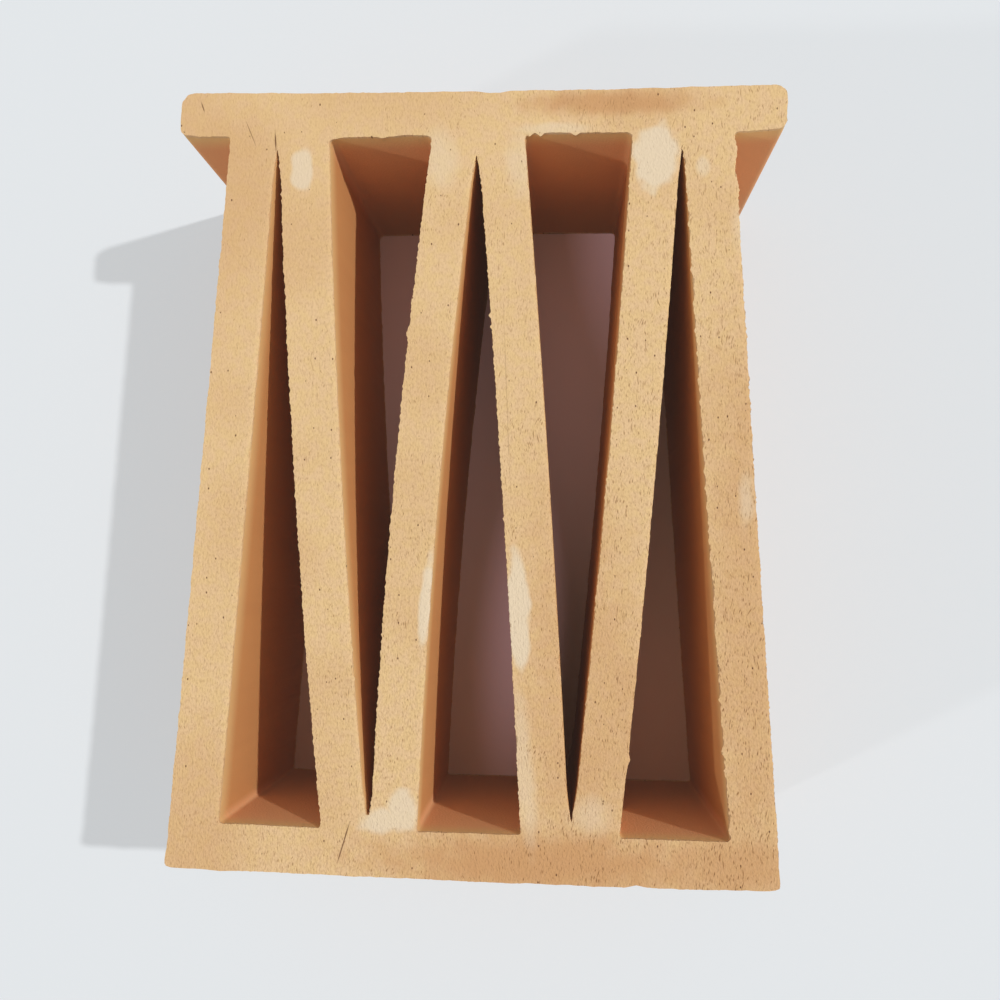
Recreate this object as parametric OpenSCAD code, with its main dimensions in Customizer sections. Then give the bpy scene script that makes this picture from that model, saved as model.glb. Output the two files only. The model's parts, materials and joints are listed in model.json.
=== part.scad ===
// Terracotta breeze block: one piece of extruded, wire-cut and fired clay.
// It lies on its back cut face. X runs across the block, Y from the foot plate up to the head plate
// and Z along the extrusion. The origin is under the middle of the block, on the back cut face.

/* [Block] */
// Height of the block, from the bed face of the foot plate to that of the head plate
block_h = 300; // [220:1:400]
// Depth of the block, from cut face to cut face
block_d = 100; // [40:1:200]
// Width of the head plate, which overhangs the side walls
head_w = 232; // [215:1:270]
// Width of the foot plate, flush with the feet of the side walls
foot_w = 233; // [200:1:250]

/* [Plates] */
// Thickness of the head plate
head_t = 16.5; // [8:0.5:30]
// Thickness of the foot plate
foot_t = 17.5; // [8:0.5:30]

/* [Webs] */
// Thickness of the slanting inner webs, measured across the block
web_t = 18; // [10:0.5:26]
// Thickness of the two side walls, measured across the block
side_t = 18; // [10:0.5:26]
// Number of upright cells, with one hanging cell between each two of them
bays = 3; // [2:1:4]

/* [Cell tips] */
// Gap that the two webs beside a cell's tip would leave where they reach the plate
slit_w = 1.2; // [0.4:0.1:4]
// Clay that closes a cell's tip short of the plate
tip_cover = 5.5; // [2:0.5:15]

/* [Corners] */
// Radius of the rounded ends of the head plate
head_r = 4; // [0.5:0.5:6]
// Radius of the two outer corners of the foot plate
foot_r = 1.5; // [0.5:0.5:6]
// Radius of the fillet between a side wall and the head plate's overhang
notch_r = 1.2; // [0.5:0.1:4]
// Radius of the hanging cells' corners, under the head plate
ceiling_r = 2.5; // [0.5:0.5:5]
// Radius of the upright cells' corners, on the foot plate
ledge_r = 1; // [0.5:0.5:5]

/* [Hidden] */
$fn = 96;

// Levels of the bed faces and of the plates' inner faces, and the clear height between the plates
foot_y = -block_h / 2;
head_y = block_h / 2;
ledge_y = foot_y + foot_t;
ceiling_y = head_y - head_t;
clear_h = ceiling_y - ledge_y;

// Pitch of the upright cells: webs, slits and side walls fill the foot plate's width exactly
filled_w = foot_w - 2 * side_t + 2 * web_t + slit_w;
pitch = (filled_w + 2 * foot_t * (web_t + slit_w) / clear_h) / (bays + foot_t / clear_h);
// Slope of every web and wall, as the shift across the block for each millimetre of height
slope = (pitch / 2 - web_t - slit_w) / clear_h;
// Half the width of a cell at its wide end, and the way past the far plate's face to where its sides meet
cell_half = slit_w / 2 + slope * clear_h;
apex_out = slit_w / (2 * slope);

// Radius of a cell's round tip, which touches both webs and stops short of the plate by tip_cover
lean = cos(atan(slope));
tip_r = lean * (slit_w / 2 + slope * tip_cover) / (1 - slope * lean);

// Half the width over the side walls, under the head plate
wall_half = foot_w / 2 - slope * (ceiling_y - foot_y);
// Rounded ends stay inside their plate
head_end_r = min(head_r, 0.48 * head_t);
foot_end_r = min(foot_r, 0.48 * foot_t);

function unit(v) = v / norm(v);

// Unit vectors from corner i of an outline to the corners before and after it
function arms(pts, i) =
    let(n = len(pts))
    [unit(pts[(i + n - 1) % n] - pts[i]), unit(pts[(i + 1) % n] - pts[i])];

// Half the angle between the two sides of corner i
function half_angle(pts, i) =
    let(a = arms(pts, i))
    acos(a[0] * a[1]) / 2;

// Centre of a circle of radius r that touches both sides of corner i
function round_centre(pts, i, r) =
    let(a = arms(pts, i))
    pts[i] + unit(a[0] + a[1]) * r / sin(half_angle(pts, i));

// The two points where that circle touches the sides
function touch_points(pts, i, r) =
    let(reach = r / tan(half_angle(pts, i)))
    [for (arm = arms(pts, i)) pts[i] + reach * arm];

// Whether an outline that runs anticlockwise turns outwards at corner i
function is_convex(pts, i) =
    let(a = arms(pts, i))
    cross(a[1], a[0]) > 0;

// The round of radius radii[i] at each corner that is convex, or at each that is not
module rounds(pts, radii, convex) {
    for (i = [0 : len(pts) - 1])
        if (is_convex(pts, i) == convex)
            translate(round_centre(pts, i, radii[i]))
                circle(r = radii[i]);
}

// An outline that runs anticlockwise, with true arcs at its outer and inner corners
module rounded(pts, radii) {
    difference() {
        union() {
            polygon([
                for (i = [0 : len(pts) - 1])
                    each touch_points(pts, i, radii[i])
            ]);
            rounds(pts, radii, true);
        }
        rounds(pts, radii, false);
    }
}

// The outside of the block: slanting side walls under a head plate that overhangs them
module outline() {
    rounded(
        [
            [-foot_w / 2, foot_y],
            [foot_w / 2, foot_y],
            [wall_half, ceiling_y],
            [head_w / 2, ceiling_y],
            [head_w / 2, head_y],
            [-head_w / 2, head_y],
            [-head_w / 2, ceiling_y],
            [-wall_half, ceiling_y]
        ],
        [
            foot_end_r,
            foot_end_r,
            notch_r,
            head_end_r,
            head_end_r,
            head_end_r,
            head_end_r,
            notch_r
        ]
    );
}

// A long triangular cell that stands on its wide end at y = 0, with its tip short of the far plate
module cell(wide_r) {
    end_r = min(wide_r, 0.4 * cell_half);
    rounded(
        [[-cell_half, 0], [cell_half, 0], [0, clear_h + apex_out]],
        [end_r, end_r, tip_r]
    );
}

// The extruded section: the outline, less the upright and the hanging cells
module section() {
    difference() {
        outline();
        for (i = [0 : bays - 1])
            translate([(i - (bays - 1) / 2) * pitch, ledge_y])
                cell(ledge_r);
        for (i = [0 : bays - 2])
            translate([(i - (bays - 2) / 2) * pitch, ceiling_y])
                mirror([0, 1])
                    cell(ceiling_r);
    }
}

// The whole piece, as the die and the cutting wire leave it
module block() {
    color("burlywood")
        linear_extrude(height = block_d)
            section();
}

block();
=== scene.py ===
"""A terracotta breeze block as it came from the kiln, lying on a pale studio floor."""
import json
import logging
import math
from dataclasses import dataclass, field
from enum import Enum
from functools import reduce
from operator import or_
from typing import Any, Iterable, Union

import bpy
import numpy as np
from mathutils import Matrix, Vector

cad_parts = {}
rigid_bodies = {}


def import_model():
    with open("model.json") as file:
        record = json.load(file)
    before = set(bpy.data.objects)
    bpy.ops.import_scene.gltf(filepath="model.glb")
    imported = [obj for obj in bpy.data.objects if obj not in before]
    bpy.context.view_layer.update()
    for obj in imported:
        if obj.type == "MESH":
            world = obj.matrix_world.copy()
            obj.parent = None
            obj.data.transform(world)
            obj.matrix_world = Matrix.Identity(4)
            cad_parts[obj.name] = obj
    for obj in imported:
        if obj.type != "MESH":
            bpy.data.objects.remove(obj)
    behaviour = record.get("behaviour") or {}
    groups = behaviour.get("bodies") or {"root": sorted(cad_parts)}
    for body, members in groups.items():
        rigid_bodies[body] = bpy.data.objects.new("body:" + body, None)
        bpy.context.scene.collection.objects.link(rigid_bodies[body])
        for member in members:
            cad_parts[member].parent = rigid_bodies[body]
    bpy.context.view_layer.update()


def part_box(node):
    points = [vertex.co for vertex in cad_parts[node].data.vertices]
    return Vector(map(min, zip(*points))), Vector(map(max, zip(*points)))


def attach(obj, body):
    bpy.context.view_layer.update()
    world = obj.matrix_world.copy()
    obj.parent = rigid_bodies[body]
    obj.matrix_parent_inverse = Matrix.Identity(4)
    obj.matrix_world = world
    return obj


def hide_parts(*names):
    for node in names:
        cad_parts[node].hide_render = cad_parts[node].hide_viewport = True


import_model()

log = logging.getLogger("breeze_block")

MM = 0.001
TOUCH = 0.01 * MM

Tone = tuple[float, ...]


class Part(Enum):
    """The kinds of mesh part that can be picked, by the name of their list in a mesh."""

    POINTS = "vertices"
    EDGES = "edges"
    FACES = "polygons"


class Falloff(Enum):
    """How a pull on one point fades over the points around it."""

    ARC = "SHARP"
    BOW = "INVERSE_SQUARE"
    DENT = "SMOOTH"


class Span(Enum):
    """What lies between one corner of a plate's inner edge and the next."""

    OVERHANG = 0
    WEB = 1
    TIP = 2
    BAY = 3


Ends = tuple[Vector, Vector]
Corners = list[tuple[Vector, Span]]


class Arris(Enum):
    """The arrises that a fray reaches, by the name of their point group."""

    ALL = "rim"
    TORN = "torn"
    RIPPED = "ripped"
    OUTER = "outer"
    LIP = "lip"


class Way(Enum):
    """Which way a fray moves the clay."""

    ACROSS = "X"
    UP = "Y"
    OUT = "NORMAL"


class Bench:
    """A piece being modelled: its parts are picked by place and worked on in edit mode."""

    def __init__(self, piece: bpy.types.Object) -> None:
        """Puts a piece on the bench.

        Args:
            piece: The mesh object to work on.
        """
        self.piece = piece
        bpy.ops.object.mode_set(mode="OBJECT")
        bpy.ops.object.select_all(action="DESELECT")
        piece.select_set(True)
        bpy.context.view_layer.objects.active = piece

    def rest(self) -> None:
        """Leaves edit mode, so that the mesh can be read."""
        bpy.ops.object.mode_set(mode="OBJECT")

    def _read(self, parts: str, value: str, width: int, kind: type = float) -> np.ndarray:
        """Leaves edit mode and reads one value of each part of the mesh.

        Args:
            parts: The name of the parts' list in the mesh.
            value: The name of the value.
            width: How many numbers it has.
            kind: What kind they are.

        Returns:
            The values, one row for each part.
        """
        self.rest()
        listed = getattr(self.piece.data, parts)
        values = np.empty(len(listed) * width, dtype=kind)
        listed.foreach_get(value, values)
        return values.reshape(-1, width)

    def points(self) -> np.ndarray:
        """Reads where the mesh's points are, one row for each."""
        return self._read("vertices", "co", 3)

    def normals(self) -> np.ndarray:
        """Reads which way the mesh faces at its points, one row for each."""
        return self._read("vertex_normals", "vector", 3)

    def picked(self) -> np.ndarray:
        """Tells which points are selected, one truth for each."""
        return self._read("vertices", "select", 1, bool)[:, 0]

    def ends(self) -> np.ndarray:
        """Reads the two points of each edge, one row for each."""
        return self._read("edges", "vertices", 2, np.int32)

    def pick(self, part: Part, wanted: np.ndarray) -> None:
        """Selects some parts and nothing else, and goes into edit mode.

        Args:
            part: Which kind of part is picked.
            wanted: True for each part of that kind to select.
        """
        self.rest()
        for kind in Part:
            parts = getattr(self.piece.data, kind.value)
            chosen = wanted if kind is part else np.zeros(len(parts), dtype=bool)
            parts.foreach_set("select", chosen)
        bpy.context.tool_settings.mesh_select_mode = [kind is part for kind in Part]
        bpy.ops.object.mode_set(mode="EDIT")

    def pick_all(self, part: Part) -> None:
        """Selects the whole mesh and goes into edit mode."""
        self.rest()
        self.pick(part, np.ones(len(getattr(self.piece.data, part.value)), dtype=bool))

    def pick_nearest(self, place: Vector) -> None:
        """Selects the one point nearest to a place."""
        away = np.linalg.norm(self.points() - np.array(place), axis=1)
        self.pick(Part.POINTS, np.arange(len(away)) == away.argmin())

    def chain(self, start: Vector, end: Vector) -> np.ndarray:
        """Finds the edges that lie on the straight line between two places.

        Args:
            start: One end of the line.
            end: Its other end.

        Returns:
            True for each edge on the line.
        """
        places = self.points()
        a, b = np.array(start), np.array(end)
        along = (places - a) @ (b - a) / ((b - a) @ (b - a))
        off = np.linalg.norm(places - a - np.outer(along, b - a), axis=1)
        slack = 1e-4
        on_line = (off < TOUCH) & (along > -slack) & (along < 1 + slack)
        return on_line[self.ends()].all(axis=1)

    def pull(self, place: Vector, shift: Vector, reach: float, falloff: Falloff) -> None:
        """Moves the point nearest to a place, and the mesh around it less and less.

        Args:
            place: Where to take hold.
            shift: How far and which way that point moves.
            reach: How far away the pull is still felt, along the mesh.
            falloff: How the pull fades.
        """
        self.pick_nearest(place)
        bpy.ops.transform.translate(
            value=shift,
            use_proportional_edit=True,
            proportional_edit_falloff=falloff.value,
            proportional_size=reach,
            use_proportional_connected=True,
        )

    def group(
        self,
        arris: Arris,
        middle: np.ndarray,
        weights: Iterable[float],
        within: np.ndarray,
    ) -> None:
        """Makes a point group that fades outwards from some points.

        Args:
            arris: Which arrises it is for.
            middle: True for each point in the middle of the group.
            weights: The weight in the middle, then that of each ring of points around it.
            within: True for each point that may be in the group.
        """
        self.pick(Part.POINTS, middle)
        rings = []
        for weight in weights:
            rings.append((weight, self.picked() & within))
            bpy.ops.object.mode_set(mode="EDIT")
            bpy.ops.mesh.select_more()
        self.rest()
        group = self.piece.vertex_groups.new(name=arris.value)
        for weight, ring in reversed(rings):
            group.add(np.flatnonzero(ring).tolist(), weight, "REPLACE")

    def apply(self, kind: str, **settings: Any) -> None:
        """Adds a modifier and applies it.

        Args:
            kind: The modifier's type.
            settings: Its properties, by name.
        """
        self.rest()
        modifier = self.piece.modifiers.new(kind.lower(), kind)
        for name, value in settings.items():
            setattr(modifier, name, value)
        bpy.ops.object.modifier_apply(modifier=modifier.name)


def srgb(red: int, green: int, blue: int) -> Tone:
    """Turns a screen colour into the linear colour that a shader takes.

    Args:
        red: Its red part, from 0 to 255.
        green: Its green part.
        blue: Its blue part.

    Returns:
        The colour, with a full alpha.
    """
    shares = np.array((red, green, blue)) / 255
    linear = np.where(shares <= 0.04045, shares / 12.92, ((shares + 0.055) / 1.055) ** 2.4)
    return (*linear.tolist(), 1.0)


class Wire:
    """A socket in a node tree. Sums written with wires add the nodes that work them out."""

    def __init__(self, tree: "Tree", socket: bpy.types.NodeSocket) -> None:
        """Takes hold of an output socket.

        Args:
            tree: The tree that the socket is in.
            socket: The output to build on.
        """
        self.tree = tree
        self.socket = socket
        self.is_vector = socket.type == "VECTOR"

    def _sum(self, operation: str, *terms: "Term") -> "Wire":
        """Adds one math node, for numbers or for vectors as the terms need.

        Args:
            operation: The node's operation.
            terms: What goes into it, in order.

        Returns:
            The node's result.
        """
        if not any(isinstance(term, tuple) or getattr(term, "is_vector", False) for term in terms):
            return self.tree.node("ShaderNodeMath", {"operation": operation}, dict(enumerate(terms)))
        vectors = [(term,) * 3 if isinstance(term, (int, float)) else term for term in terms]
        return self.tree.node("ShaderNodeVectorMath", {"operation": operation}, dict(enumerate(vectors)))

    def __add__(self, other: "Term") -> "Wire":
        """Adds a term."""
        return self._sum("ADD", self, other)

    def __sub__(self, other: "Term") -> "Wire":
        """Takes a term away."""
        return self._sum("SUBTRACT", self, other)

    def __rsub__(self, other: "Term") -> "Wire":
        """Is taken away from a term."""
        return self._sum("SUBTRACT", other, self)

    def __mul__(self, other: "Term") -> "Wire":
        """Multiplies by a term."""
        return self._sum("MULTIPLY", self, other)

    def __truediv__(self, other: "Term") -> "Wire":
        """Divides by a term."""
        return self._sum("DIVIDE", self, other)

    def __or__(self, other: "Term") -> "Wire":
        """Gives the greater of this and a term."""
        return self._sum("MAXIMUM", self, other)

    def __abs__(self) -> "Wire":
        """Drops the sign."""
        return self._sum("ABSOLUTE", self)

    def beside(self, output: Union[str, int]) -> "Wire":
        """Gives another output of the same node."""
        return Wire(self.tree, self.socket.node.outputs[output])

    def length(self) -> "Wire":
        """Measures a vector."""
        return self.tree.node("ShaderNodeVectorMath", {"operation": "LENGTH"}, {0: self}, "Value")

    def ramp(self, low: "Term", high: "Term") -> "Wire":
        """Rises smoothly from 0 at one value to 1 at another, which may be the lower one."""
        settings = {"interpolation_type": "SMOOTHSTEP"}
        return self.tree.node("ShaderNodeMapRange", settings, {0: self, 1: low, 2: high})

    def tint(self, dull: "Term", full: "Term") -> "Wire":
        """Mixes two colours, by this wire as the share of the second."""
        return self.tree.node("ShaderNodeMix", {"data_type": "RGBA"}, {0: self, 6: dull, 7: full}, 2)

    def axes(self) -> list["Wire"]:
        """Takes a vector apart into its three numbers."""
        first = self.tree.node("ShaderNodeSeparateXYZ", {}, {0: self})
        return [first.beside(axis) for axis in "XYZ"]

    def noise(self, wave: float, rough: float = 0.5) -> "Wire":
        """Gives a cloudy number from 0 to 1 at this place.

        Args:
            wave: The size of its clouds.
            rough: How strong its finer layer is.

        Returns:
            The number.
        """
        sockets = {"Vector": self, "Scale": 1 / wave, "Detail": 1.0, "Roughness": rough}
        return self.tree.node("ShaderNodeTexNoise", {}, sockets)

    def cells(self, wave: float) -> tuple["Wire", "Wire"]:
        """Scatters points, one to a cell.

        Args:
            wave: The size of a cell.

        Returns:
            How far this place is from the nearest point, in cells, and that point's random number.
        """
        sockets = {"Vector": self, "Scale": 1 / wave}
        away = self.tree.node("ShaderNodeTexVoronoi", {"voronoi_dimensions": "2D"}, sockets)
        return away, self.tree.node("ShaderNodeSeparateColor", {}, {0: away.beside("Color")})


Term = Union[Wire, float, Tone]


class Tree:
    """A node tree that is emptied and built anew."""

    def __init__(self, owner: Union[bpy.types.Material, bpy.types.World]) -> None:
        """Empties an owner's tree.

        Args:
            owner: The material or world.
        """
        owner.use_nodes = True
        self.nodes = owner.node_tree.nodes
        self.links = owner.node_tree.links
        self.nodes.clear()

    def node(
        self,
        kind: str,
        settings: Union[dict[str, Any], None] = None,
        sockets: Union[dict[Union[str, int], Term], None] = None,
        output: Union[str, int] = 0,
    ) -> Wire:
        """Adds a node.

        Args:
            kind: The node's type.
            settings: Its properties, by name.
            sockets: What its inputs hold or are fed, by name or by number.
            output: Which of its outputs is wanted.

        Returns:
            That output.
        """
        node = self.nodes.new(kind)
        for name, value in (settings or {}).items():
            setattr(node, name, value)
        for name, value in (sockets or {}).items():
            if isinstance(value, Wire):
                self.links.new(value.socket, node.inputs[name])
            else:
                node.inputs[name].default_value = value
        return Wire(self, node.outputs[output]) if len(node.outputs) else Wire(self, node.inputs[0])

    def place(self) -> Wire:
        """Gives the place on the object, in millimetres."""
        return self.node("ShaderNodeTexCoord", output="Object") / MM


@dataclass(frozen=True)
class Mark:
    """A stain or a crack on the front cut face, or a place of painted sheen on the floor, in
    millimetres.

    Attributes:
        x: Its middle across the block.
        y: Its middle between the foot and the head.
        half_w: Half its width.
        half_h: Half its height.
        tilt: How far it leans to the left, in degrees.
        fade: How soft its rim is, as a share of its size.
        strength: How much of its colour shows.
    """

    x: float
    y: float
    half_w: float
    half_h: float
    tilt: float
    fade: float
    strength: float

    def mask(self, flat: Wire, ragged: Term) -> Wire:
        """Gives the share of the mark at a place.

        Args:
            flat: The place on the cut face or the floor.
            ragged: A number about 0 that frays the rim.

        Returns:
            The share, from 0 to its strength.
        """
        sockets = {
            "Vector": flat,
            "Location": (self.x, self.y, 0.0),
            "Rotation": (0.0, 0.0, math.radians(self.tilt)),
            "Scale": (self.half_w, self.half_h, 1.0),
        }
        inside = flat.tree.node("ShaderNodeMapping", {"vector_type": "TEXTURE"}, sockets).length()
        return (inside + ragged).ramp(1 + self.fade, 1 - self.fade) * self.strength


def strongest(marks: tuple[Mark, ...], flat: Wire, ragged: Term = 0.0) -> Wire:
    """Gives the share of whichever of some marks is the strongest at a place."""
    return reduce(or_, (mark.mask(flat, ragged) for mark in marks))


@dataclass(frozen=True)
class Cloud:
    """A cloudy pattern in the clay.

    Attributes:
        wave: The size of its clouds, in millimetres.
        low: The noise at which it starts to show.
        high: The noise at which it shows in full.
        share: How much of its colour shows there.
        squeeze: Scale of the place along each axis, so that less draws the clouds out.
        rough: How strong its finer layer is.
    """

    wave: float
    low: float
    high: float
    share: float
    squeeze: tuple[float, float, float] = (1.0, 1.0, 1.0)
    rough: float = 0.5

    def mask(self, place: Wire) -> Wire:
        """Gives the share of the pattern at a place."""
        cloudy = (place * self.squeeze).noise(self.wave, self.rough)
        return cloudy.ramp(self.low, self.high) * self.share


@dataclass(frozen=True)
class Holes:
    """A scatter of holes or upright splits in the cut face, one to a cell, each of its own size.

    Attributes:
        wave: Width of a cell, in millimetres.
        squeeze: Width of a cell for its height.
        rare: The chance at which a hole starts to open.
        sure: The chance at which it is at its widest.
        rim: Half the widest hole with its rim, in cells.
        core: Half its dark core, in cells.
        rise: The sizes at which a hole starts to show and shows in full.
        least: What every hole is wider by, as a share of the widest.
    """

    wave: float
    squeeze: float
    rare: float
    sure: float
    rim: float
    core: float
    rise: tuple[float, float]
    least: float = 0.0

    def mask(self, flat: Wire, porous: Term = 0.0) -> Wire:
        """Gives the share of the holes at a place.

        Args:
            flat: The place on the cut face.
            porous: A number that grows with the clay's pores.

        Returns:
            The share, from 0 to 1.
        """
        away, chance = (flat * (1.0, self.squeeze, 0.0)).cells(self.wave)
        size = (chance + porous).ramp(self.rare, self.sure)
        width = size + self.least
        return away.ramp(width * self.rim, width * self.core) * size.ramp(*self.rise)


@dataclass(frozen=True)
class FiredClay:
    """Terracotta: a pale, porous cut face and a deeper skin where it slid through the die.

    Attributes:
        cut: Colour of the cut faces.
        cut_yellow: Colour of their mottle.
        warm: Colour of their warmer clouds.
        skin: Colour of the skin.
        skin_deep: Colour of its streaks.
        skin_lip_painted_highlight: Its colour towards the front, paler: a painted highlight where the
            walls catch more light.
        skin_dusty: Its colour towards the floor.
        ceiling_painted_light: The skin's colour under the head plate, paler than the walls: painted
            light.
        ledge_painted_light: Its colour on the foot plate, paler still where the lamp falls: painted
            light.
        bloom: Colour of the pale patches.
        scorch_and_painted_shade: Colour of the scorched places, and of the painted shade in the dent
            under the top edge.
        hair: Colour of the splits and of the grain.
        pit: Colour of the holes and cracks.
        rough: Roughness of the clay.
        gloss: Its specular level.
        painted_glow: A faint glow of the clay itself, painted light that lifts its deepest shade.
        cut_grain: Depth of the cut faces' grain, in millimetres.
        skin_grain: Depth of the skin's grain, in millimetres.
        grain_wave: Size of the grain, in millimetres.
        grain_squeeze: Scale of the place along each axis for the grain.
        grain_rough: How strong the grain's finer layer is.
        thickness: Thickness of the block, in millimetres.
        level: How far the plates' inner sides are from the middle, in millimetres.
        level_band: The band beside them in which their painted-light colour comes up.
        lip: How far down from the front the skin's painted highlight reaches, and where it is full.
        dust: How far up from the floor the dust reaches, and where it is full.
        stain_depth: How far down from the front the stains reach, and where they are full.
        crack_depth: How far down from the front the cracks reach, and where they are full.
        rim_depth: How far from a cut face the skin starts, and where the cut face ends.
        rim_wander: How far that line wanders.
        rim_wave: The size of its wandering, in millimetres.
        ragged: How far the rims of the marks fray, as a share of their size.
        ragged_wave: The size of those frays, in millimetres.
        fill: How far a pale patch fills the pores.
        coarse: The grain's strength in the middle of the block.
        coarse_across: How that grows to the right, for each millimetre.
        coarse_up: How that grows upwards, for each millimetre.
        coarse_least: The least that it comes to.
        porous_patchy: How the number of splits changes from place to place.
        porous_across: How it grows to the right, for each millimetre.
        porous_wave: The size of those places, in millimetres.
        lean: How far the splits bend, in millimetres.
        split_share: How much of the splits' colour shows.
        clouds: Clouds of warmer clay.
        mottle: The yellow mottle.
        combed: The fine grain that the cutting wire combed.
        streaks: The streaks that the die left.
        long_splits: The long splits.
        short_splits: The short ones.
        pits: The small dark holes.
        blooms: The pale patches.
        scorches_and_painted_shade: The scorched places, and the painted shade in the dent under the top
            edge.
        cracks: The cracks.
    """

    cut: Tone = srgb(231, 195, 148)
    cut_yellow: Tone = srgb(231, 196, 142)
    warm: Tone = srgb(218, 176, 126)
    skin: Tone = srgb(212, 152, 92)
    skin_deep: Tone = srgb(205, 143, 86)
    skin_lip_painted_highlight: Tone = srgb(228, 183, 122)
    skin_dusty: Tone = srgb(209, 158, 114)
    ceiling_painted_light: Tone = srgb(225, 161, 110)
    ledge_painted_light: Tone = srgb(231, 172, 120)
    bloom: Tone = srgb(233, 214, 185)
    scorch_and_painted_shade: Tone = srgb(202, 150, 100)
    hair: Tone = srgb(146, 100, 57)
    pit: Tone = srgb(104, 64, 36)
    rough: float = 0.92
    gloss: float = 0.25
    painted_glow: float = 0.007
    cut_grain: float = 0.4
    skin_grain: float = 0.16
    grain_wave: float = 0.9
    grain_squeeze: tuple[float, float, float] = (1.0, 0.6, 1.0)
    grain_rough: float = 0.7
    thickness: float = 100.0
    level: float = 131.0
    level_band: float = 4.0
    lip: tuple[float, float] = (12.0, 1.0)
    dust: tuple[float, float] = (55.0, 5.0)
    stain_depth: tuple[float, float] = (6.0, 3.0)
    crack_depth: tuple[float, float] = (3.0, 1.5)
    rim_depth: tuple[float, float] = (1.8, 0.7)
    rim_wander: float = 1.2
    rim_wave: float = 2.5
    ragged: float = 0.9
    ragged_wave: float = 7.0
    fill: float = 0.85
    coarse: float = 1.05
    coarse_across: float = 0.0012
    coarse_up: float = -0.0022
    coarse_least: float = 0.4
    porous_patchy: float = 0.7
    porous_across: float = 0.0012
    porous_wave: float = 14.0
    lean: float = 7.0
    split_share: float = 0.62
    clouds: Cloud = Cloud(45.0, 0.4, 0.75, 0.5)
    mottle: Cloud = Cloud(5.0, 0.35, 0.65, 1.0)
    combed: Cloud = Cloud(0.65, 0.4, 0.8, 0.27, (1.0, 0.5, 1.0), 0.6)
    streaks: Cloud = Cloud(9.0, 0.3, 0.7, 0.35, (1.0, 1.0, 0.08))
    long_splits: Holes = Holes(0.9, 0.09, 0.7, 1.15, 0.26, 0.06, (0.0, 0.6))
    short_splits: Holes = Holes(0.75, 0.27, 0.55, 1.2, 0.42, 0.08, (0.0, 0.7))
    pits: Holes = Holes(3.4, 0.6, 0.85, 1.0, 0.11, 0.04, (0.1, 0.9), 0.01)
    blooms: tuple[Mark, ...] = (
        Mark(-67.8, 120.1, 4.3, 8.4, 0, 0.22, 0.75),
        Mark(67.8, 124.0, 8.6, 12.5, -10, 0.2, 0.85),
        Mark(84.9, 119.9, 2.6, 3.5, 0, 0.4, 0.5),
        Mark(-16.9, -45.6, 2.4, 18, -5, 0.3, 0.85),
        Mark(18.2, -48.0, 4.2, 22, 3, 0.25, 0.85),
        Mark(21.3, -108, 3.6, 25, 6, 0.5, 0.4),
        Mark(-24.7, -124.8, 6.2, 8.2, 0, 0.25, 0.75),
        Mark(-32.5, -128.6, 8, 4.8, 8, 0.3, 0.75),
        Mark(46.2, -124.1, 7, 6, 0, 0.6, 0.35),
        Mark(-14.3, 123.2, 6, 10, 0, 0.6, 0.4),
        Mark(16.3, 120.9, 5, 10, 0, 0.6, 0.35),
        Mark(30, 134.6, 13, 2.0, 0, 0.6, 0.45),
        Mark(98.9, 97.2, 3, 8, 0, 0.6, 0.3),
        Mark(102.5, -6, 2.6, 9, 0, 0.6, 0.45),
    )
    scorches_and_painted_shade: tuple[Mark, ...] = (
        Mark(30, -143, 60, 12, 0, 0.7, 0.85),
        Mark(98, -142, 30, 12, 0, 0.7, 0.65),
        # Painted shade of the dent along the top edge, not a scorch.
        Mark(50, 144.4, 30, 4.5, 0, 0.6, 0.8),
        Mark(44, -80, 24, 60, 5, 0.7, 0.42),
        Mark(104, -50, 15, 95, 0, 0.7, 0.45),
        Mark(-103, -125, 18, 28, 0, 0.7, 0.3),
        Mark(-102, 110, 24, 45, 0, 0.7, 0.25),
    )
    cracks: tuple[Mark, ...] = (
        Mark(-46.9, -137.3, 0.24, 7.2, -16, 0.5, 0.85),
        Mark(-78.4, 131.5, 0.3, 3.5, 4, 0.5, 0.9),
        Mark(-107.3, 144.9, 0.25, 1.9, 20, 0.5, 0.8),
        Mark(-88.1, 134.4, 0.2, 5.1, 23, 0.5, 0.6),
        Mark(12.5, 34.3, 0.2, 33, 3, 0.5, 0.25),
    )

    def material(self) -> bpy.types.Material:
        """Builds the clay's shader.

        Returns:
            The clay as a material.
        """
        made = bpy.data.materials.new("terracotta")
        tree = Tree(made)
        place = tree.place()
        x, y, _ = place.axes()
        coarse = (x * self.coarse_across + y * self.coarse_up + self.coarse) | self.coarse_least
        relief = (place * self.grain_squeeze).noise(self.grain_wave, self.grain_rough) * coarse
        skin = self._clay(self._skin(place), relief, self.skin_grain)
        cut = self._clay(self._cut(place, coarse), relief, self.cut_grain)
        shader = tree.node("ShaderNodeMixShader", {}, {0: self._cut_share(place), 1: skin, 2: cut})
        tree.node("ShaderNodeOutputMaterial", {}, {"Surface": shader})
        return made

    def _clay(self, colour: Wire, relief: Wire, grain: float) -> Wire:
        """Gives the dull surface of the clay.

        Args:
            colour: Its colour.
            relief: The shape of its grain.
            grain: How deep that is, in millimetres.

        Returns:
            The shader.
        """
        bump = {"Strength": 1.0, "Distance": grain * MM, "Height": relief}
        sockets = {
            "Base Color": colour,
            "Roughness": self.rough,
            "Specular IOR Level": self.gloss,
            # The clay glows faintly: painted light that lifts its deepest shade.
            "Emission Color": (1.0, 1.0, 1.0, 1.0),
            "Emission Strength": self.painted_glow,
            "Normal": relief.tree.node("ShaderNodeBump", {}, bump),
        }
        return relief.tree.node("ShaderNodeBsdfPrincipled", {}, sockets)

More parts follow.
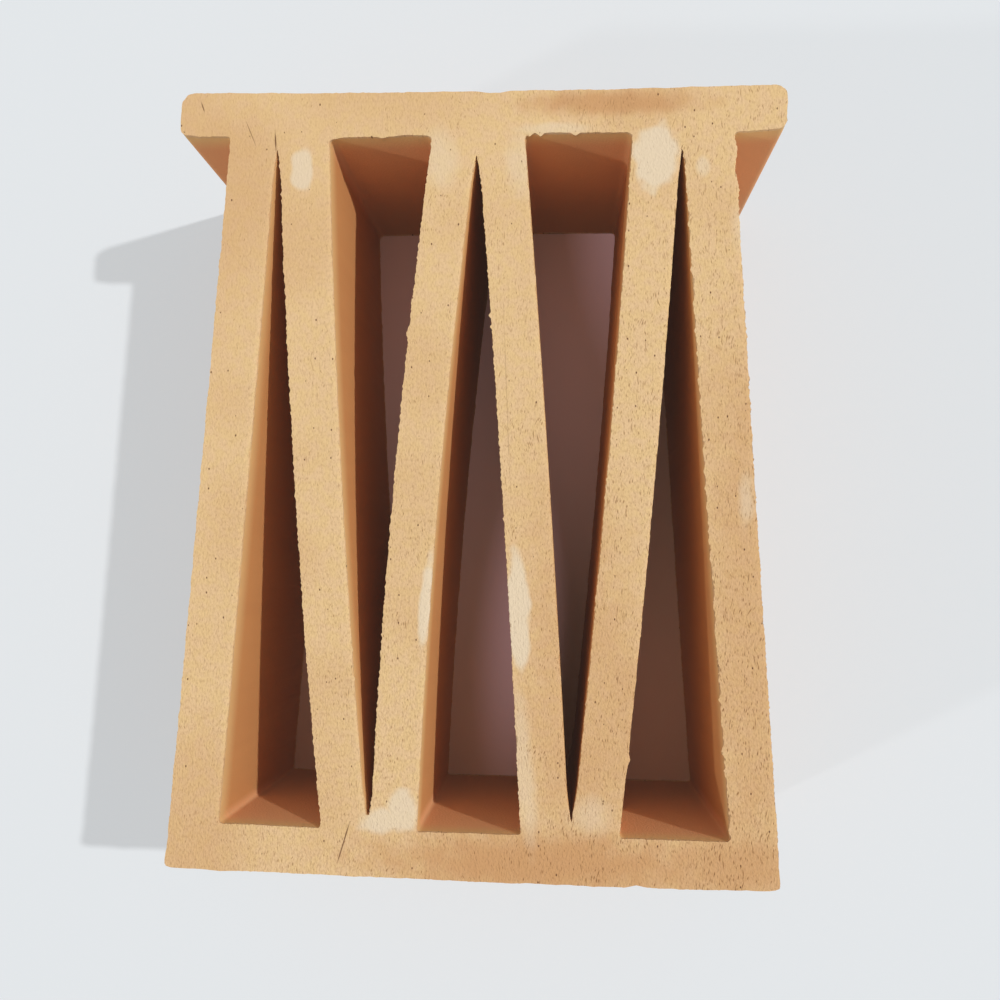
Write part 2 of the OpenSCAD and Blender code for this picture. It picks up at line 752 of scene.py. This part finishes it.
    def _cut_share(self, place: Wire) -> Wire:
        """Tells the two cut faces, and the crumbled rims beside them, from the skin."""
        level = place.axes()[2] + (place.noise(self.rim_wave) - 0.5) * self.rim_wander
        return self._below_front(level, self.rim_depth) | level.ramp(*self.rim_depth)

    def _below_front(self, z: Wire, depths: tuple[float, float]) -> Wire:
        """Rises from 0 at one depth below the front to 1 at another."""
        return z.ramp(self.thickness - depths[0], self.thickness - depths[1])

    def _cut(self, place: Wire, coarse: Wire) -> Wire:
        """Colours the cut faces.

        Args:
            place: The place on the block.
            coarse: The grain's strength there.

        Returns:
            The colour.
        """
        flat = place * (1.0, 1.0, 0.0)
        x, _, z = place.axes()
        stained = self._below_front(z, self.stain_depth)
        ragged = (place.noise(self.ragged_wave) - 0.5) * self.ragged
        colour = self.mottle.mask(place).tint(self.cut, self.cut_yellow)
        colour = self.clouds.mask(place).tint(colour, self.warm)
        colour = (self.combed.mask(place) * coarse).tint(colour, self.hair)
        # Scorches, and the painted shade in the dent under the top edge.
        colour = (strongest(self.scorches_and_painted_shade, flat, ragged) * stained).tint(colour, self.scorch_and_painted_shade)
        bloom = strongest(self.blooms, flat, ragged) * stained
        open_clay = 1 - bloom * self.fill
        patchy = place.noise(self.porous_wave) - 0.5
        porous = patchy * self.porous_patchy + x * self.porous_across
        drawn = flat + patchy * (self.lean, 0.0, 0.0)
        splits = self.long_splits.mask(drawn, porous) | self.short_splits.mask(drawn, porous)
        splits = splits * open_clay * (coarse * self.split_share)
        pits = self.pits.mask(flat) * open_clay
        cracks = strongest(self.cracks, flat, ragged) * self._below_front(z, self.crack_depth)
        colour = splits.tint(bloom.tint(colour, self.bloom), self.hair)
        return (pits | cracks).tint(colour, self.pit)

    def _skin(self, place: Wire) -> Wire:
        """Colours the skin: faint streaks along the die, with painted light making it paler on the
        plates and towards the cuts.

        Args:
            place: The place on the block.

        Returns:
            The colour.
        """
        _, y, z = place.axes()
        # The plates' inner sides are painted paler than the walls, which is painted light: the ledges
        # face the lamp and are paler than the ceilings.
        plates = y.ramp(-1, 1).tint(self.ledge_painted_light, self.ceiling_painted_light)
        colour = self.streaks.mask(place).tint(self.skin, self.skin_deep)
        colour = abs(y).ramp(self.level - self.level_band, self.level).tint(colour, plates)
        colour = z.ramp(*self.dust).tint(colour, self.skin_dusty)
        # Paler towards the front: a painted highlight where the walls catch more light.
        return self._below_front(z, self.lip).tint(colour, self.skin_lip_painted_highlight)


@dataclass(frozen=True)
class Lamp:
    """A far lamp.

    Attributes:
        name: Its name.
        towards: The way from the block to it.
        strength: The light that it throws on a surface facing it.
        spread: How wide it looks, in degrees.
    """

    name: str
    towards: tuple[float, float, float]
    strength: float
    spread: float

    def place(self) -> None:
        """Adds the lamp."""
        bpy.ops.object.light_add(type="SUN", location=Vector(self.towards))
        lamp = bpy.context.object
        lamp.name = self.name
        lamp.rotation_euler = Vector(self.towards).to_track_quat("Z", "Y").to_euler()
        lamp.data.energy = self.strength
        lamp.data.angle = math.radians(self.spread)


@dataclass(frozen=True)
class Studio:
    """The pale floor, the lamps and the camera.

    Attributes:
        paper: Colour of the floor.
        dust: Colour of the floor inside the block's outline.
        painted_sheen: Colour of the painted sheen, a glow that only the camera sees on the floor inside
            the block.
        painted_sheens: The places of that painted sheen.
        lift: How far the block's shadow on the floor is lightened.
        taper: How the block narrows, side for height.
        half_w: Half the block's width on the middle line, in millimetres.
        half_h: Half the block's height, in millimetres.
        blur: Width of the line between the floor inside the block and beside it, in millimetres.
        floor_side: Width of the floor.
        sky: Strength of the light from all round.
        lamps: The lamps.
        eye: Where the camera is.
        turn: How it is turned from looking straight down, in degrees.
        lens: Its focal length, in millimetres.
        sensor: Width of its sensor, in millimetres.
        nearest: How near it still sees.
        rise: How far the picture is cut above the middle of the lens, in picture widths.
    """

    paper: Tone = srgb(228, 232, 235)
    dust: Tone = srgb(238, 209, 190)
    painted_sheen: Tone = srgb(133, 98, 96)
    painted_sheens: tuple[Mark, ...] = (
        Mark(62, 144, 19, 62, 0, 0.9, 0.85),
        Mark(15, -58, 14, 55, -3, 0.9, 0.9),
        Mark(-30, 60, 40, 90, 0, 0.9, 0.22),
        Mark(38, 60, 30, 66, 0, 0.9, 0.2),
    )
    lift: float = 0.52
    taper: float = 0.073
    half_w: float = 106.0
    half_h: float = 150.0
    blur: float = 1.0
    floor_side: float = 6.0
    sky: float = 0.4
    lamps: tuple[Lamp, ...] = (
        Lamp("key", (0.645, 0.18, 0.743), 2.12, 1.5),
        Lamp("fill", (-0.775, -0.404, 0.485), 0.55, 3.0),
    )
    eye: tuple[float, float, float] = (31.85 * MM, -35.66 * MM, 439.28 * MM)
    turn: tuple[float, float, float] = (0.875, 3.502, 0.886)
    lens: float = 32.4
    sensor: float = 36.0
    nearest: float = 10 * MM
    rise: float = 0.0641

    def set_up(self) -> None:
        """Builds the studio."""
        bpy.context.scene.view_settings.view_transform = "Standard"
        bpy.ops.object.select_all(action="DESELECT")
        bpy.ops.mesh.primitive_plane_add(size=self.floor_side)
        floor = bpy.context.object
        floor.name = "floor"
        floor.data.materials.append(self._paper())
        for lamp in self.lamps:
            lamp.place()
        self._sky()
        self._camera()

    def _paper(self) -> bpy.types.Material:
        """Builds the floor's shader.

        Returns:
            The floor as a material.
        """
        made = bpy.data.materials.new("paper")
        tree = Tree(made)
        place = tree.place()
        x, y, _ = place.axes()
        beside = (abs(x) + y * self.taper).ramp(self.half_w - self.blur, self.half_w)
        beside = beside | abs(y).ramp(self.half_h - self.blur, self.half_h)
        seen = tree.node("ShaderNodeLightPath", output="Is Camera Ray")
        plain = tree.node("ShaderNodeBsdfDiffuse", {}, {"Color": beside.tint(self.dust, self.paper)})
        # Only the camera sees this glow: painted light that lightens the block's shadow beside the
        # block, and painted sheen inside its outline.
        painted_floor_light = tree.node("ShaderNodeEmission", {}, {"Color": beside.tint(self.painted_sheen, self.paper)})
        share = beside * self.lift | (1 - beside) * strongest(self.painted_sheens, place)
        shader = tree.node("ShaderNodeMixShader", {}, {0: seen * share, 1: plain, 2: painted_floor_light})
        tree.node("ShaderNodeOutputMaterial", {}, {"Surface": shader})
        return made

    def _sky(self) -> None:
        """Lights the scene from all round, and shows the camera the floor's own colour there."""
        world = bpy.data.worlds.new("studio")
        bpy.context.scene.world = world
        tree = Tree(world)
        seen = tree.node("ShaderNodeLightPath", output="Is Camera Ray")
        colour = seen.tint((self.sky, self.sky, self.sky, 1.0), self.paper)
        shader = tree.node("ShaderNodeBackground", {}, {"Color": colour, "Strength": 1.0})
        tree.node("ShaderNodeOutputWorld", {}, {"Surface": shader})

    def _camera(self) -> None:
        """Sets the camera where the photo was taken from."""
        turn = [math.radians(angle) for angle in self.turn]
        bpy.ops.object.camera_add(location=self.eye, rotation=turn)
        camera = bpy.context.object
        camera.data.lens = self.lens
        camera.data.sensor_width = self.sensor
        camera.data.shift_y = self.rise
        camera.data.clip_start = self.nearest
        bpy.context.scene.camera = camera


@dataclass(frozen=True)
class Web:
    """How far a slanting web dried away from its drawn place, across the block.

    Attributes:
        foot: Shift of the corner where it meets a ledge.
        head: Shift of the corner where it meets a ceiling, or the notch under the head.
        bow: How far its middle bends off the line of its ends.
    """

    foot: float
    head: float
    bow: float


@dataclass(frozen=True)
class Tip:
    """The closed end of a cell.

    Attributes:
        drift: How far it dried away from its drawn place, across the block.
        cover: How far it stops short of the plate.
        width: How much of its drawn width is left.
        pinch: How much of that is left at the very end.
    """

    drift: float
    cover: float
    width: float = 1.0
    pinch: float = 0.15


@dataclass(frozen=True)
class Sway:
    """How an edge along a plate wanders off its straight line.

    Attributes:
        stations: Places across the block from left to right, each with the edge's shift there, in
            millimetres.
    """

    stations: tuple[tuple[float, float], ...]

    def at(self, x: float) -> float:
        """Gives the shift at a place across the block."""
        places, shifts = zip(*self.stations)
        return float(np.interp(x / MM, places, shifts)) * MM


@dataclass(frozen=True)
class Fray:
    """A roughening of the arrises.

    Attributes:
        name: Its texture's name.
        way: Which way the clay moves.
        arris: The arrises that it reaches.
        wave: The size of its clouds.
        depth: How far the clay moves, from one side to the other.
        level: The texture's value where the clay stays.
        layers: How many finer layers its clouds have.
    """

    name: str
    way: Way
    arris: Arris
    wave: float
    depth: float
    level: float = 0.5
    layers: int = 2

    def apply(self, bench: Bench) -> None:
        """Roughens a piece.

        Args:
            bench: The bench that it is on.
        """
        clouds = bpy.data.textures.new(self.name, "CLOUDS")
        clouds.noise_scale = self.wave
        clouds.noise_depth = self.layers
        bench.apply(
            "DISPLACE",
            texture=clouds,
            direction=self.way.value,
            vertex_group=self.arris.value,
            strength=self.depth,
            mid_level=self.level,
        )


@dataclass(frozen=True)
class Dent:
    """A knock or a crumb on the front cut face, in millimetres.

    Attributes:
        x: Its place across the block.
        y: Its place between the foot and the head.
        shift: Which way and how far the clay gave way.
        reach: How wide the knock is.
    """

    x: float
    y: float
    shift: tuple[float, float, float]
    reach: float


@dataclass
class BreezeBlock:
    """The fired block: two plates, two side walls and four inner webs, in one piece of clay.

    Attributes:
        head_w: Width of the head plate.
        foot_w: Width of the foot plate.
        head_t: Thickness of the head plate.
        foot_t: Thickness of the foot plate.
        web_t: Width of a web along the block's middle line.
        side_t: The same of a side wall.
        slit_w: Drawn width of a cell at its tip.
        bays: How many cells stand on the foot plate.
        head_r: Radius of the head plate's corners.
        foot_r: Radius of the foot plate's corners.
        ceiling_r: Radius of the cells' corners at the head plate.
        ledge_r: Radius of the cells' corners at the foot plate.
        notch_r: Radius of the corners under the head plate's ends.
        arc_reach: How far a corner's pull is felt, in radii.
        tip_reach: How far the pinch of a tip is felt.
        upright_tips: The tips of the cells that stand, from left to right.
        hanging_tips: The tips of the cells that hang, from left to right.
        webs: The side walls and webs, from left to right.
        side_feet: How far the left and the right wall's foot dried away from its drawn place.
        top_sway: How the top edge wanders.
        ceiling_sway: How the head plate's lower edge wanders.
        ledge_sway: How the foot plate's upper edge wanders.
        bottom_sway: How the bottom edge wanders.
        frays: What roughened the arrises, in order.
        dents: The knocks and crumbs.
        sharp: The angle from which an edge is an arris.
        sideways: How far an arris looks to one side to count as facing it.
        front_reach: How far down from the front the wear reaches.
        back_reach: How far up from the back the wear reaches.
        rim_fade: Weights of all arrises and of the points around them.
        torn_fade: Weights of the torn arrises and of the points around them.
        lip_fade: Weights of the eased arrises and of the points below them.
        row_step: Height of the webs' rows of faces.
        column_step: Width of their columns.
        bay_step: Width of the plates' columns between the webs.
        plate_step: Height of the plates' rows.
        ring: Width of the ring of faces along the arrises.
        wall_steps: Heights of the walls' rows, from the front to the back.
        smooth_angle: The angle up to which edges are shaded smooth.
        name: The piece's name.
        bench: The bench that it is modelled on.
    """

    head_w: float = 232 * MM
    foot_w: float = 233 * MM
    head_t: float = 16.5 * MM
    foot_t: float = 17.5 * MM
    web_t: float = 18 * MM
    side_t: float = 18 * MM
    slit_w: float = 1.2 * MM
    bays: int = 3

    head_r: float = 3.6 * MM
    foot_r: float = 2.0 * MM
    ceiling_r: float = 2.6 * MM
    ledge_r: float = 1.2 * MM
    notch_r: float = 1.4 * MM

    arc_reach: float = 1.08
    tip_reach: float = 14 * MM
    upright_tips: tuple[Tip, ...] = (
        Tip(-0.2 * MM, 5.8 * MM),
        Tip(-0.05 * MM, 8.8 * MM, 0.55),
        Tip(0.2 * MM, 6.0 * MM, 0.7),
    )
    hanging_tips: tuple[Tip, ...] = (
        Tip(1.1 * MM, 5.8 * MM, 1.2, 0.5),
        Tip(0.5 * MM, 5.8 * MM),
    )
    webs: tuple[Web, ...] = (
        Web(1.7 * MM, -0.35 * MM, 0.2 * MM),
        Web(1.5 * MM, 1.4 * MM, -2.3 * MM),
        Web(1.2 * MM, 1.1 * MM, -2.8 * MM),
        Web(0.3 * MM, -0.6 * MM, 1.0 * MM),
        Web(0.2 * MM, 0.0 * MM, 1.5 * MM),
        Web(0.8 * MM, 0.9 * MM, -0.4 * MM),
    )
    side_feet: tuple[float, float] = (0.2 * MM, 0.3 * MM)
    top_sway: Sway = Sway(
        ((-110, 0.8), (-81, 0.1), (-69, -0.3), (22, -0.7), (45, -0.2), (62, -0.6), (102, -0.1))
    )
    ceiling_sway: Sway = Sway(
        ((-90, 0), (-64, -1.1), (-26, -0.9), (14, -0.4), (54, -0.5), (97, -1.2), (116, 0))
    )
    ledge_sway: Sway = Sway(
        ((-95, 0.8), (-57, 0.2), (-17, 0.1), (95, 0))
    )
    bottom_sway: Sway = Sway(
        ((-117, 0.9), (-83, -0.1), (-54, 0.2), (-14, -0.4), (49, -0.6), (95, -0.5), (108, 0))
    )

    frays: tuple[Fray, ...] = (
        Fray("wander_x", Way.ACROSS, Arris.ALL, 6.5 * MM, 0.7 * MM),
        Fray("wander_y", Way.UP, Arris.ALL, 9.0 * MM, 0.6 * MM),
        Fray("crumbs_x", Way.ACROSS, Arris.ALL, 1.2 * MM, 0.6 * MM),
        Fray("crumbs_y", Way.UP, Arris.ALL, 1.5 * MM, 0.5 * MM),
        Fray("tears", Way.ACROSS, Arris.TORN, 1.3 * MM, 1.0 * MM),
        Fray("rips", Way.ACROSS, Arris.RIPPED, 3.2 * MM, 2.2 * MM),
        Fray("nicks", Way.ACROSS, Arris.OUTER, 1.0 * MM, 1.0 * MM, 0.3),
        Fray("easing", Way.OUT, Arris.LIP, 4.0 * MM, 0.6 * MM, 1.2),
    )
    dents: tuple[Dent, ...] = (
        Dent(4.0, 149.4, (0, -0.7, 0), 5.0),
        Dent(8.3, 148.8, (0, -0.6, 0), 3.5),
        Dent(31.0, 144.4, (0, 0, -0.5), 11.0),
        Dent(50.0, 144.4, (0, 0, -0.6), 12.0),
        Dent(68.0, 144.4, (0, 0, -0.4), 11.0),
        Dent(-55.4, 132.0, (0, -0.5, 0), 3.0),
        Dent(-36.9, 132.1, (0, -0.7, 0), 2.5),
        Dent(-28.0, 133.0, (0, 0.4, 0), 6.0),
        Dent(19.9, 132.0, (0, -1.3, 0), 1.8),
        Dent(23.7, 132.4, (0, -1.5, 0), 1.8),
        Dent(37.3, 132.6, (0, -1.1, 0), 2.2),
        Dent(98.5, 125.4, (0.6, 0, 0), 4.0),
        Dent(97.2, 117.9, (-0.6, 0, 0), 4.0),
        Dent(98.7, 110.3, (0.6, 0, 0), 4.0),
        Dent(-25.9, 57.3, (-0.7, 0, 0), 3.5),
        Dent(5.8, 63.3, (-0.8, 0, 0), 1.4),
        Dent(6.2, 59.1, (-0.9, 0, 0), 1.4),
        Dent(93.8, -98.5, (-0.9, 0, 0), 3.0),
        Dent(59.6, -103.2, (0.9, 0, 0), 3.0),
        Dent(63.5, -150.3, (0, 0.7, 0), 4.0),
        Dent(-17.0, -84.0, (-0.6, 0, 0), 1.6),
        Dent(19.2, -96.3, (0.7, 0, 0), 1.6),
        Dent(-41.2, -63.5, (0.6, 0, 0), 1.6),
        Dent(-39.8, -75.0, (0.5, 0, 0), 1.6),
        Dent(-112.0, 134.5, (0, 0.8, 0), 4.0),
        Dent(-115.5, 150.0, (0.9, -0.6, 0), 6.0),
    )

    sharp: float = math.radians(60)
    sideways: float = 0.4
    front_reach: float = 4 * MM
    back_reach: float = 1 * MM
    rim_fade: tuple[float, ...] = (1.0, 0.7, 0.35, 0.12)
    torn_fade: tuple[float, ...] = (1.0, 0.6, 0.25)
    lip_fade: tuple[float, ...] = (1.0, 0.6, 0.4, 0.2)

    row_step: float = 0.6 * MM
    column_step: float = 2.0 * MM
    bay_step: float = 0.8 * MM
    plate_step: float = 1.4 * MM
    ring: float = 0.7 * MM
    wall_steps: tuple[float, ...] = tuple(step * MM for step in (0.3, 0.6, 1.2, 3, 15, 40, 39.4, 0.5))
    smooth_angle: float = math.radians(50)
    name: str = "fired_block"
    bench: Bench = field(init=False)

    def __post_init__(self) -> None:
        """Works out the levels and the zigzag from the frame's box and the driving sizes."""
        low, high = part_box("block")
        self.depth = high[2] - low[2]
        self.foot_y, self.head_y = low[1], high[1]
        self.ledge_y = self.foot_y + self.foot_t
        self.ceiling_y = self.head_y - self.head_t
        clear = self.ceiling_y - self.ledge_y
        filled = self.foot_w - 2 * self.side_t + 2 * self.web_t + self.slit_w
        spare = 2 * self.foot_t * (self.web_t + self.slit_w) / clear
        self.pitch = (filled + spare) / (self.bays + self.foot_t / clear)
        self.slope = (self.pitch / 2 - self.web_t - self.slit_w) / clear
        self.cell_half = self.slit_w / 2 + self.slope * clear
        self.wall_half = self.foot_w / 2 - self.slope * (self.ceiling_y - self.foot_y)
        self.rows = round(clear / self.row_step)
        self.head, self.foot = self.head_corners(), self.foot_corners()
        self.head_edge = self.edge(self.head, self.head_y, self.top_sway)
        self.foot_edge = self.edge(self.foot, self.foot_y, self.bottom_sway)
        self.foot_edge[0].x, self.foot_edge[-1].x = -self.foot_w / 2, self.foot_w / 2

    def place(self, x: float, y: float, below: float = 0.0) -> Vector:
        """Gives a place on the block, measured down from the front cut face."""
        return Vector((x, y, self.depth - below))

    def upright_x(self, i: int) -> float:
        """Gives the middle of an upright cell."""
        return (i - (self.bays - 1) / 2) * self.pitch

    def hanging_x(self, i: int) -> float:
        """Gives the middle of a hanging cell."""
        return (i - (self.bays - 2) / 2) * self.pitch

    def tip_sides(self, tip: Tip, x: float, base_y: float, way: int) -> Corners:
        """Gives the two corners of a cell's closed end.

        Args:
            tip: The closed end.
            x: The middle of the cell as drawn.
            base_y: The level of the plate that the end points at.
            way: 1 if the cell lies above that plate, -1 if below.

        Returns:
            The left and the right corner, with what follows each.
        """
        half = tip.width * (self.slit_w / 2 + self.slope * tip.cover)
        y = base_y + way * tip.cover
        middle = x + tip.drift
        return [(self.place(middle - half, y), Span.TIP), (self.place(middle + half, y), Span.WEB)]

    def head_corners(self) -> Corners:
        """Works out the section under the head plate.

        Returns:
            Its corners from left to right, with what follows each.
        """
        row = [(self.place(-self.head_w / 2, self.ceiling_y), Span.OVERHANG)]
        row.append((self.place(-self.wall_half + self.webs[0].head, self.ceiling_y), Span.WEB))
        for i, tip in enumerate(self.upright_tips):
            row += self.tip_sides(tip, self.upright_x(i), self.ceiling_y, -1)
            if i < self.bays - 1:
                left = self.hanging_x(i) - self.cell_half + self.webs[2 * i + 1].head
                right = self.hanging_x(i) + self.cell_half + self.webs[2 * i + 2].head
                row.append((self.place(left, self.ceiling_y), Span.BAY))
                row.append((self.place(right, self.ceiling_y), Span.WEB))
        row.append((self.place(self.wall_half + self.webs[-1].head, self.ceiling_y), Span.OVERHANG))
        row.append((self.place(self.head_w / 2, self.ceiling_y), Span.OVERHANG))
        return self.swayed(row, self.ceiling_sway)

    def foot_corners(self) -> Corners:
        """Works out the section on the foot plate.

        Returns:
            Its corners from left to right, with what follows each.
        """
        half = self.foot_w / 2 - self.slope * self.foot_t
        row = [(self.place(-half + self.side_feet[0], self.ledge_y), Span.WEB)]
        for i in range(self.bays):
            left = self.upright_x(i) - self.cell_half + self.webs[2 * i].foot
            right = self.upright_x(i) + self.cell_half + self.webs[2 * i + 1].foot
            row.append((self.place(left, self.ledge_y), Span.BAY))
            row.append((self.place(right, self.ledge_y), Span.WEB))
            if i < self.bays - 1:
                row += self.tip_sides(self.hanging_tips[i], self.hanging_x(i), self.ledge_y, 1)
        row.append((self.place(half + self.side_feet[1], self.ledge_y), Span.OVERHANG))
        return self.swayed(row, self.ledge_sway)

    def swayed(self, row: Corners, sway: Sway) -> Corners:
        """Shifts the corners that lie on a plate's edge as that edge wanders.

        Args:
            row: The corners along the plate, the first of them on its edge.
            sway: How the edge wanders.

        Returns:
            The same corners, shifted.
        """
        level = row[0][0].y
        for corner, _ in row:
            if corner.y == level:
                corner.y += sway.at(corner.x)
        return row

    def edge(self, corners: Corners, level: float, sway: Sway) -> list[Vector]:
        """Places the corners of a plate's outer edge, one across from each inner one."""
        return [self.place(corner.x, level + sway.at(corner.x)) for corner, _ in corners]

    def build(self) -> bpy.types.Object:
        """Models the block.

        Returns:
            The finished mesh object, in place of the frame's node.
        """
        head_plate = self._plate(self.head, self.head_edge)
        foot_plate = self._plate(self.foot, self.foot_edge)
        foot_plate.select_set(True)
        head_plate.select_set(True)
        bpy.context.view_layer.objects.active = head_plate
        bpy.ops.object.join()
        head_plate.name = head_plate.data.name = self.name
        self.bench = Bench(head_plate)
        self._webs()
        self._round_corners()
        self._pinch_tips()
        self._bow_webs()
        self._walls()
        self._wear()
        self._knock()
        bpy.ops.object.shade_smooth_by_angle(angle=self.smooth_angle)
        return head_plate

    def _plate(self, inner: Corners, outer: list[Vector]) -> bpy.types.Object:
        """Models the front of one plate as a fine grid between two rows of corners.

        Args:
            inner: Corners of its edge towards the webs, from left to right, with what follows each.
            outer: Corners of its other edge, one across from each inner one.

        Returns:
            The plate's flat mesh.
        """
        count = len(inner)
        bpy.ops.object.select_all(action="DESELECT")
        bpy.ops.mesh.primitive_grid_add(x_subdivisions=count - 1, y_subdivisions=1, size=1.0)
        bench = Bench(bpy.context.object)
        for i, target in enumerate([corner for corner, _ in inner] + outer):
            bench.pick(Part.POINTS, np.arange(2 * count) == i)
            bpy.ops.transform.translate(value=target - Vector(bench.piece.data.vertices[i].co))
        for i, (corner, span) in enumerate(inner[:-1]):
            pairs = np.sort(bench.ends(), axis=1)
            inside = (pairs == (i, i + 1)).all(axis=1)
            outside = (pairs == (count + i, count + i + 1)).all(axis=1)
            bench.pick(Part.EDGES, inside | outside)
            if span is Span.WEB:
                cuts = round(self.web_t / self.column_step) - 1
            else:
                cuts = max(1, round((inner[i + 1][0] - corner).length / self.bay_step) - 1)
            bpy.ops.mesh.subdivide(number_cuts=cuts)
        across = np.diff(bench.points()[bench.ends()], axis=1)[:, 0]
        bench.pick(Part.EDGES, abs(across[:, 1]) > abs(across[:, 0]))
        bpy.ops.mesh.subdivide(number_cuts=round(self.head_t / self.plate_step) - 1)
        bench.rest()
        return bench.piece

    def _spans(self, row: Corners, wanted: Span) -> list[Ends]:
        """Lists the two ends of each span of one kind along a plate."""
        return [(row[i][0], row[i + 1][0]) for i in range(len(row) - 1) if row[i][1] is wanted]

    def _web_ends(self) -> list[tuple[Ends, Ends]]:
        """Lists where each web and side wall meets the head plate and the foot plate."""
        return list(zip(self._spans(self.head, Span.WEB), self._spans(self.foot, Span.WEB)))

    def _webs(self) -> None:
        """Bridges the two plates with the webs and side walls."""
        for top, low in self._web_ends():
            self.bench.pick(Part.EDGES, self.bench.chain(*top) | self.bench.chain(*low))
            bpy.ops.mesh.bridge_edge_loops(number_cuts=self.rows - 1, interpolation="LINEAR")

    def _round_corners(self) -> None:
        """Rounds the corners of the section."""
        (left_end, left_notch), (right_notch, right_end) = self._spans(self.head, Span.OVERHANG)
        corners = [
            (left_end, (1, 1), self.head_r),
            (right_end, (-1, 1), self.head_r),
            (self.head_edge[0], (1, -1), self.head_r),
            (self.head_edge[-1], (-1, -1), self.head_r),
            (self.foot_edge[0], (1, 1), self.foot_r),
            (self.foot_edge[-1], (-1, 1), self.foot_r),
            (left_notch, (-1, -1), self.notch_r),
            (right_notch, (1, -1), self.notch_r),
        ]
        for left, right in self._spans(self.head, Span.BAY):
            corners += [(left, (1, -1), self.ceiling_r), (right, (-1, -1), self.ceiling_r)]
        for left, right in self._spans(self.foot, Span.BAY):
            corners += [(left, (1, 1), self.ledge_r), (right, (-1, 1), self.ledge_r)]
        inset = 1 - math.sqrt(0.5)
        for corner, way, radius in corners:
            shift = Vector((*way, 0)) * radius * inset
            self.bench.pull(corner, shift, self.arc_reach * radius, Falloff.ARC)

    def _pinch_tips(self) -> None:
        """Closes the slits at their tips, most of them to a point."""
        tips = self.upright_tips + self.hanging_tips
        for tip, (left, right) in zip(tips, self._spans(self.head + self.foot, Span.TIP)):
            self.bench.pick(Part.EDGES, self.bench.chain(left, right))
            bpy.ops.transform.resize(
                value=(tip.pinch, 1, 1),
                center_override=(left + right) / 2,
                use_proportional_edit=True,
                proportional_edit_falloff=Falloff.ARC.value,
                proportional_size=self.tip_reach,
                use_proportional_connected=True,
            )

    def _bow_webs(self) -> None:
        """Bends each web as it dried."""
        reach = (self.ceiling_y - self.ledge_y) / 2
        for web, (top, low) in zip(self.webs, self._web_ends()):
            middle = sum((*top, *low), Vector()) / 4
            self.bench.pull(middle, Vector((web.bow, 0, 0)), reach, Falloff.BOW)

    def _walls(self) -> None:
        """Draws the section's rims down to the back cut face, and closes that face."""
        self.bench.pick_all(Part.FACES)
        bpy.ops.mesh.inset(thickness=self.ring, use_boundary=True)
        self.bench.pick_all(Part.EDGES)
        bpy.ops.mesh.select_non_manifold(
            extend=False,
            use_wire=False,
            use_boundary=True,
            use_multi_face=False,
            use_non_contiguous=False,
            use_verts=False,
        )
        for step in self.wall_steps:
            bpy.ops.mesh.extrude_edges_move(TRANSFORM_OT_translate={"value": (0, 0, -step)})
        bpy.ops.mesh.fill(use_beauty=False)
        bpy.ops.mesh.select_all(action="SELECT")
        bpy.ops.mesh.normals_make_consistent(inside=False)
        self.bench.rest()

    def _wear(self) -> None:
        """Eases and frays the arrises of both cut faces, where the wire tore the clay."""
        self.bench.pick_all(Part.EDGES)
        bpy.ops.mesh.select_all(action="DESELECT")
        bpy.ops.mesh.edges_select_sharp(sharpness=self.sharp)
        across, _, height = self.bench.points().T
        ends = (height > self.depth - TOUCH) | (height < TOUCH)
        near = (height > self.depth - self.front_reach) | (height < self.back_reach)
        arris = self.bench.picked() & ends
        front = arris & (height > self.depth / 2)
        facing = self.bench.normals()[:, 0]
        torn = front & (facing < -self.sideways) & (across > -self.wall_half)
        lip = front & (facing > self.sideways)
        self.bench.group(Arris.ALL, arris, self.rim_fade, near)
        self.bench.group(Arris.TORN, torn, self.torn_fade, near)
        self.bench.group(Arris.RIPPED, torn & (across > self.pitch), self.torn_fade, near)
        self.bench.group(Arris.OUTER, lip & (across > self.wall_half), self.torn_fade, near)
        self.bench.group(Arris.LIP, lip, self.lip_fade, near & (arris | ~ends))
        for fray in self.frays:
            fray.apply(self.bench)

    def _knock(self) -> None:
        """Dents the block where it was knocked."""
        for dent in self.dents:
            place = self.place(dent.x * MM, dent.y * MM)
            self.bench.pull(place, Vector(dent.shift) * MM, dent.reach * MM, Falloff.DENT)
        self.bench.rest()


def main() -> None:
    """Builds the block, then the studio around it."""
    logging.basicConfig(level=logging.INFO, format="%(name)s %(message)s")
    block = BreezeBlock().build()
    block.data.materials.append(FiredClay().material())
    log.info("%s: %d faces", block.name, len(block.data.polygons))
    Studio().set_up()
    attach(block, "root")
    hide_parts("block")


if __name__ == "__main__":
    main()
